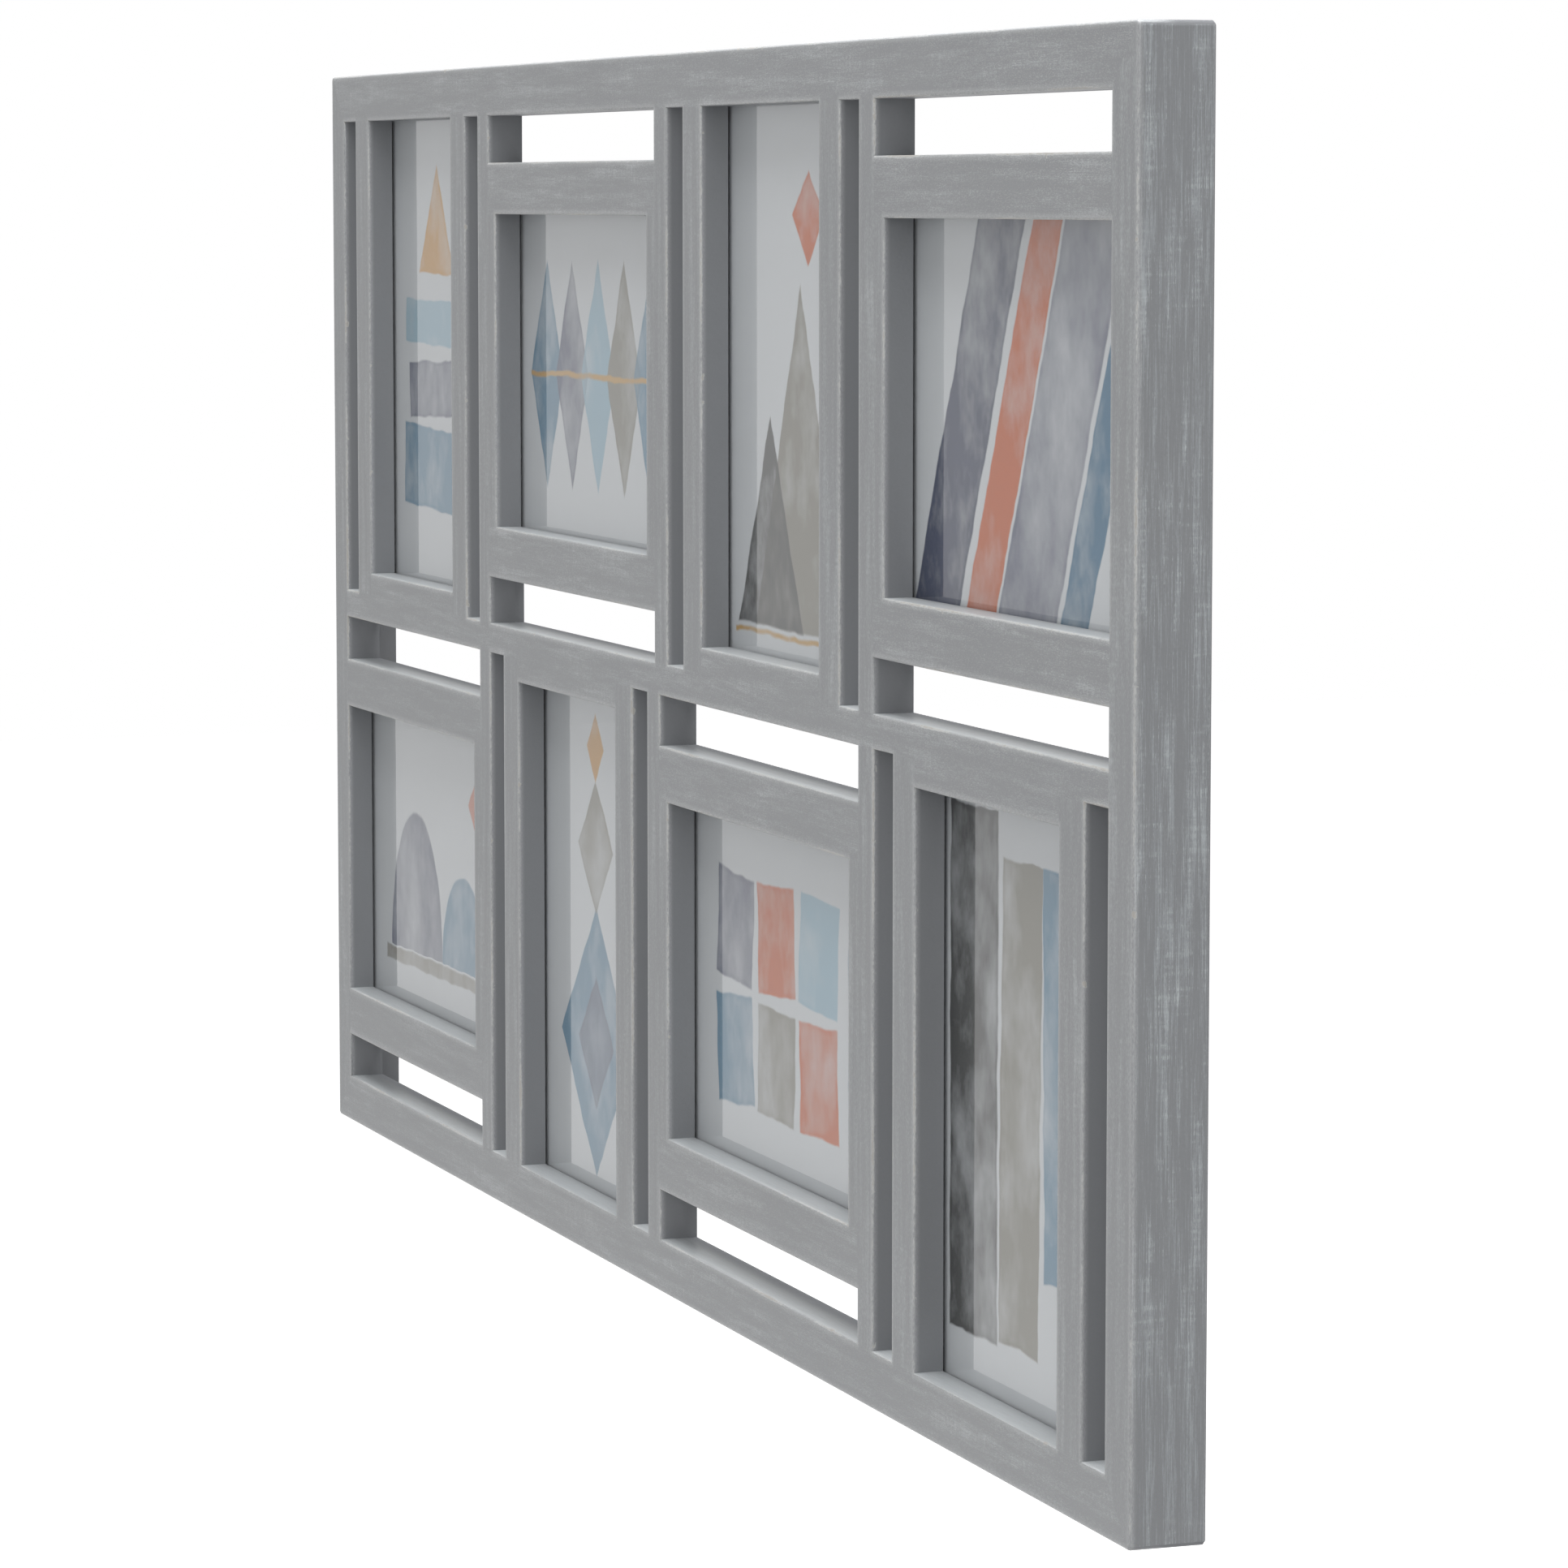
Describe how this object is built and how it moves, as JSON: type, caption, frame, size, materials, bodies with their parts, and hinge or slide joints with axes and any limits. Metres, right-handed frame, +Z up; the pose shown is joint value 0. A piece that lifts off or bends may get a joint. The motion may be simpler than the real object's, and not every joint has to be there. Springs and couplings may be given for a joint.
{
  "type": "collage photo frame",
  "caption": "Landscape wall frame of painted wood strips: a lattice of glazed photo openings and open slots, with backing boards held by turn buttons.",
  "frame": {"origin": "on the wall plane, at the middle of the top rail's rear rim", "axes": "+X to the viewer's right along the width, +Z up, +Y into the wall, so the front faces -Y"},
  "size_m": [0.688, 0.0192, 0.348],
  "materials": {
    "painted_wood": "grey paint, dry-brushed, worn edges",
    "glass": "clear, polished",
    "print_paper": "matt print",
    "backing_board": "bare hardboard",
    "plated_steel": "zinc plated"
  },
  "bodies": {
    "frame": {"top_rail": "painted_wood", "bottom_rail": "painted_wood", "left_stile": "painted_wood", "right_stile": "painted_wood", "mid_rail": "painted_wood", "upper_mullions": "painted_wood", "lower_mullions": "painted_wood", "picture_bars_r1c1": "painted_wood", "glass_r1c1": "glass", "print_r1c1": "print_paper", "backing_r1c1": "backing_board", "picture_bars_r1c2": "painted_wood", "glass_r1c2": "glass", "print_r1c2": "print_paper", "backing_r1c2": "backing_board", "picture_bars_r1c3": "painted_wood", "glass_r1c3": "glass", "print_r1c3": "print_paper", "backing_r1c3": "backing_board", "picture_bars_r1c4": "painted_wood", "glass_r1c4": "glass", "print_r1c4": "print_paper", "backing_r1c4": "backing_board", "picture_bars_r2c1": "painted_wood", "glass_r2c1": "glass", "print_r2c1": "print_paper", "backing_r2c1": "backing_board", "picture_bars_r2c2": "painted_wood", "glass_r2c2": "glass", "print_r2c2": "print_paper", "backing_r2c2": "backing_board", "picture_bars_r2c3": "painted_wood", "glass_r2c3": "glass", "print_r2c3": "print_paper", "backing_r2c3": "backing_board", "picture_bars_r2c4": "painted_wood", "glass_r2c4": "glass", "print_r2c4": "print_paper", "backing_r2c4": "backing_board", "turn_button_screws": "plated_steel", "sawtooth_hanger_left": "plated_steel", "sawtooth_hanger_right": "plated_steel", "hanger_nails": "plated_steel"},
    "turn_button_r1c1_a": {"turn_button_r1c1_a": "plated_steel"},
    "turn_button_r1c1_b": {"turn_button_r1c1_b": "plated_steel"},
    "turn_button_r1c2_a": {"turn_button_r1c2_a": "plated_steel"},
    "turn_button_r1c2_b": {"turn_button_r1c2_b": "plated_steel"},
    "turn_button_r1c3_a": {"turn_button_r1c3_a": "plated_steel"},
    "turn_button_r1c3_b": {"turn_button_r1c3_b": "plated_steel"},
    "turn_button_r1c4_a": {"turn_button_r1c4_a": "plated_steel"},
    "turn_button_r1c4_b": {"turn_button_r1c4_b": "plated_steel"},
    "turn_button_r2c1_a": {"turn_button_r2c1_a": "plated_steel"},
    "turn_button_r2c1_b": {"turn_button_r2c1_b": "plated_steel"},
    "turn_button_r2c2_a": {"turn_button_r2c2_a": "plated_steel"},
    "turn_button_r2c2_b": {"turn_button_r2c2_b": "plated_steel"},
    "turn_button_r2c3_a": {"turn_button_r2c3_a": "plated_steel"},
    "turn_button_r2c3_b": {"turn_button_r2c3_b": "plated_steel"},
    "turn_button_r2c4_a": {"turn_button_r2c4_a": "plated_steel"},
    "turn_button_r2c4_b": {"turn_button_r2c4_b": "plated_steel"}
  },
  "joints": [
    {"name": "turn_button_r1c1_a_turn", "type": "hinge", "parent": "frame", "child": "turn_button_r1c1_a", "pos_m": [-0.3089, -0.0082, -0.08575], "axis": [0, 1, 0], "continuous": true},
    {"name": "turn_button_r1c1_b_turn", "type": "hinge", "parent": "frame", "child": "turn_button_r1c1_b", "pos_m": [-0.1946, -0.0082, -0.08575], "axis": [0, 1, 0], "continuous": true},
    {"name": "turn_button_r1c2_a_turn", "type": "hinge", "parent": "frame", "child": "turn_button_r1c2_a", "pos_m": [-0.08275, -0.0082, -0.0321], "axis": [0, 1, 0], "continuous": true},
    {"name": "turn_button_r1c2_b_turn", "type": "hinge", "parent": "frame", "child": "turn_button_r1c2_b", "pos_m": [-0.08275, -0.0082, -0.1464], "axis": [0, 1, 0], "continuous": true},
    {"name": "turn_button_r1c3_a_turn", "type": "hinge", "parent": "frame", "child": "turn_button_r1c3_a", "pos_m": [0.0291, -0.0082, -0.08575], "axis": [0, 1, 0], "continuous": true},
    {"name": "turn_button_r1c3_b_turn", "type": "hinge", "parent": "frame", "child": "turn_button_r1c3_b", "pos_m": [0.1434, -0.0082, -0.08575], "axis": [0, 1, 0], "continuous": true},
    {"name": "turn_button_r1c4_a_turn", "type": "hinge", "parent": "frame", "child": "turn_button_r1c4_a", "pos_m": [0.25525, -0.0082, -0.0321], "axis": [0, 1, 0], "continuous": true},
    {"name": "turn_button_r1c4_b_turn", "type": "hinge", "parent": "frame", "child": "turn_button_r1c4_b", "pos_m": [0.25525, -0.0082, -0.1464], "axis": [0, 1, 0], "continuous": true},
    {"name": "turn_button_r2c1_a_turn", "type": "hinge", "parent": "frame", "child": "turn_button_r2c1_a", "pos_m": [-0.25525, -0.0082, -0.1956], "axis": [0, 1, 0], "continuous": true},
    {"name": "turn_button_r2c1_b_turn", "type": "hinge", "parent": "frame", "child": "turn_button_r2c1_b", "pos_m": [-0.25525, -0.0082, -0.3099], "axis": [0, 1, 0], "continuous": true},
    {"name": "turn_button_r2c2_a_turn", "type": "hinge", "parent": "frame", "child": "turn_button_r2c2_a", "pos_m": [-0.1434, -0.0082, -0.25625], "axis": [0, 1, 0], "continuous": true},
    {"name": "turn_button_r2c2_b_turn", "type": "hinge", "parent": "frame", "child": "turn_button_r2c2_b", "pos_m": [-0.0291, -0.0082, -0.25625], "axis": [0, 1, 0], "continuous": true},
    {"name": "turn_button_r2c3_a_turn", "type": "hinge", "parent": "frame", "child": "turn_button_r2c3_a", "pos_m": [0.08275, -0.0082, -0.1956], "axis": [0, 1, 0], "continuous": true},
    {"name": "turn_button_r2c3_b_turn", "type": "hinge", "parent": "frame", "child": "turn_button_r2c3_b", "pos_m": [0.08275, -0.0082, -0.3099], "axis": [0, 1, 0], "continuous": true},
    {"name": "turn_button_r2c4_a_turn", "type": "hinge", "parent": "frame", "child": "turn_button_r2c4_a", "pos_m": [0.1946, -0.0082, -0.25625], "axis": [0, 1, 0], "continuous": true},
    {"name": "turn_button_r2c4_b_turn", "type": "hinge", "parent": "frame", "child": "turn_button_r2c4_b", "pos_m": [0.3089, -0.0082, -0.25625], "axis": [0, 1, 0], "continuous": true}
  ]
}
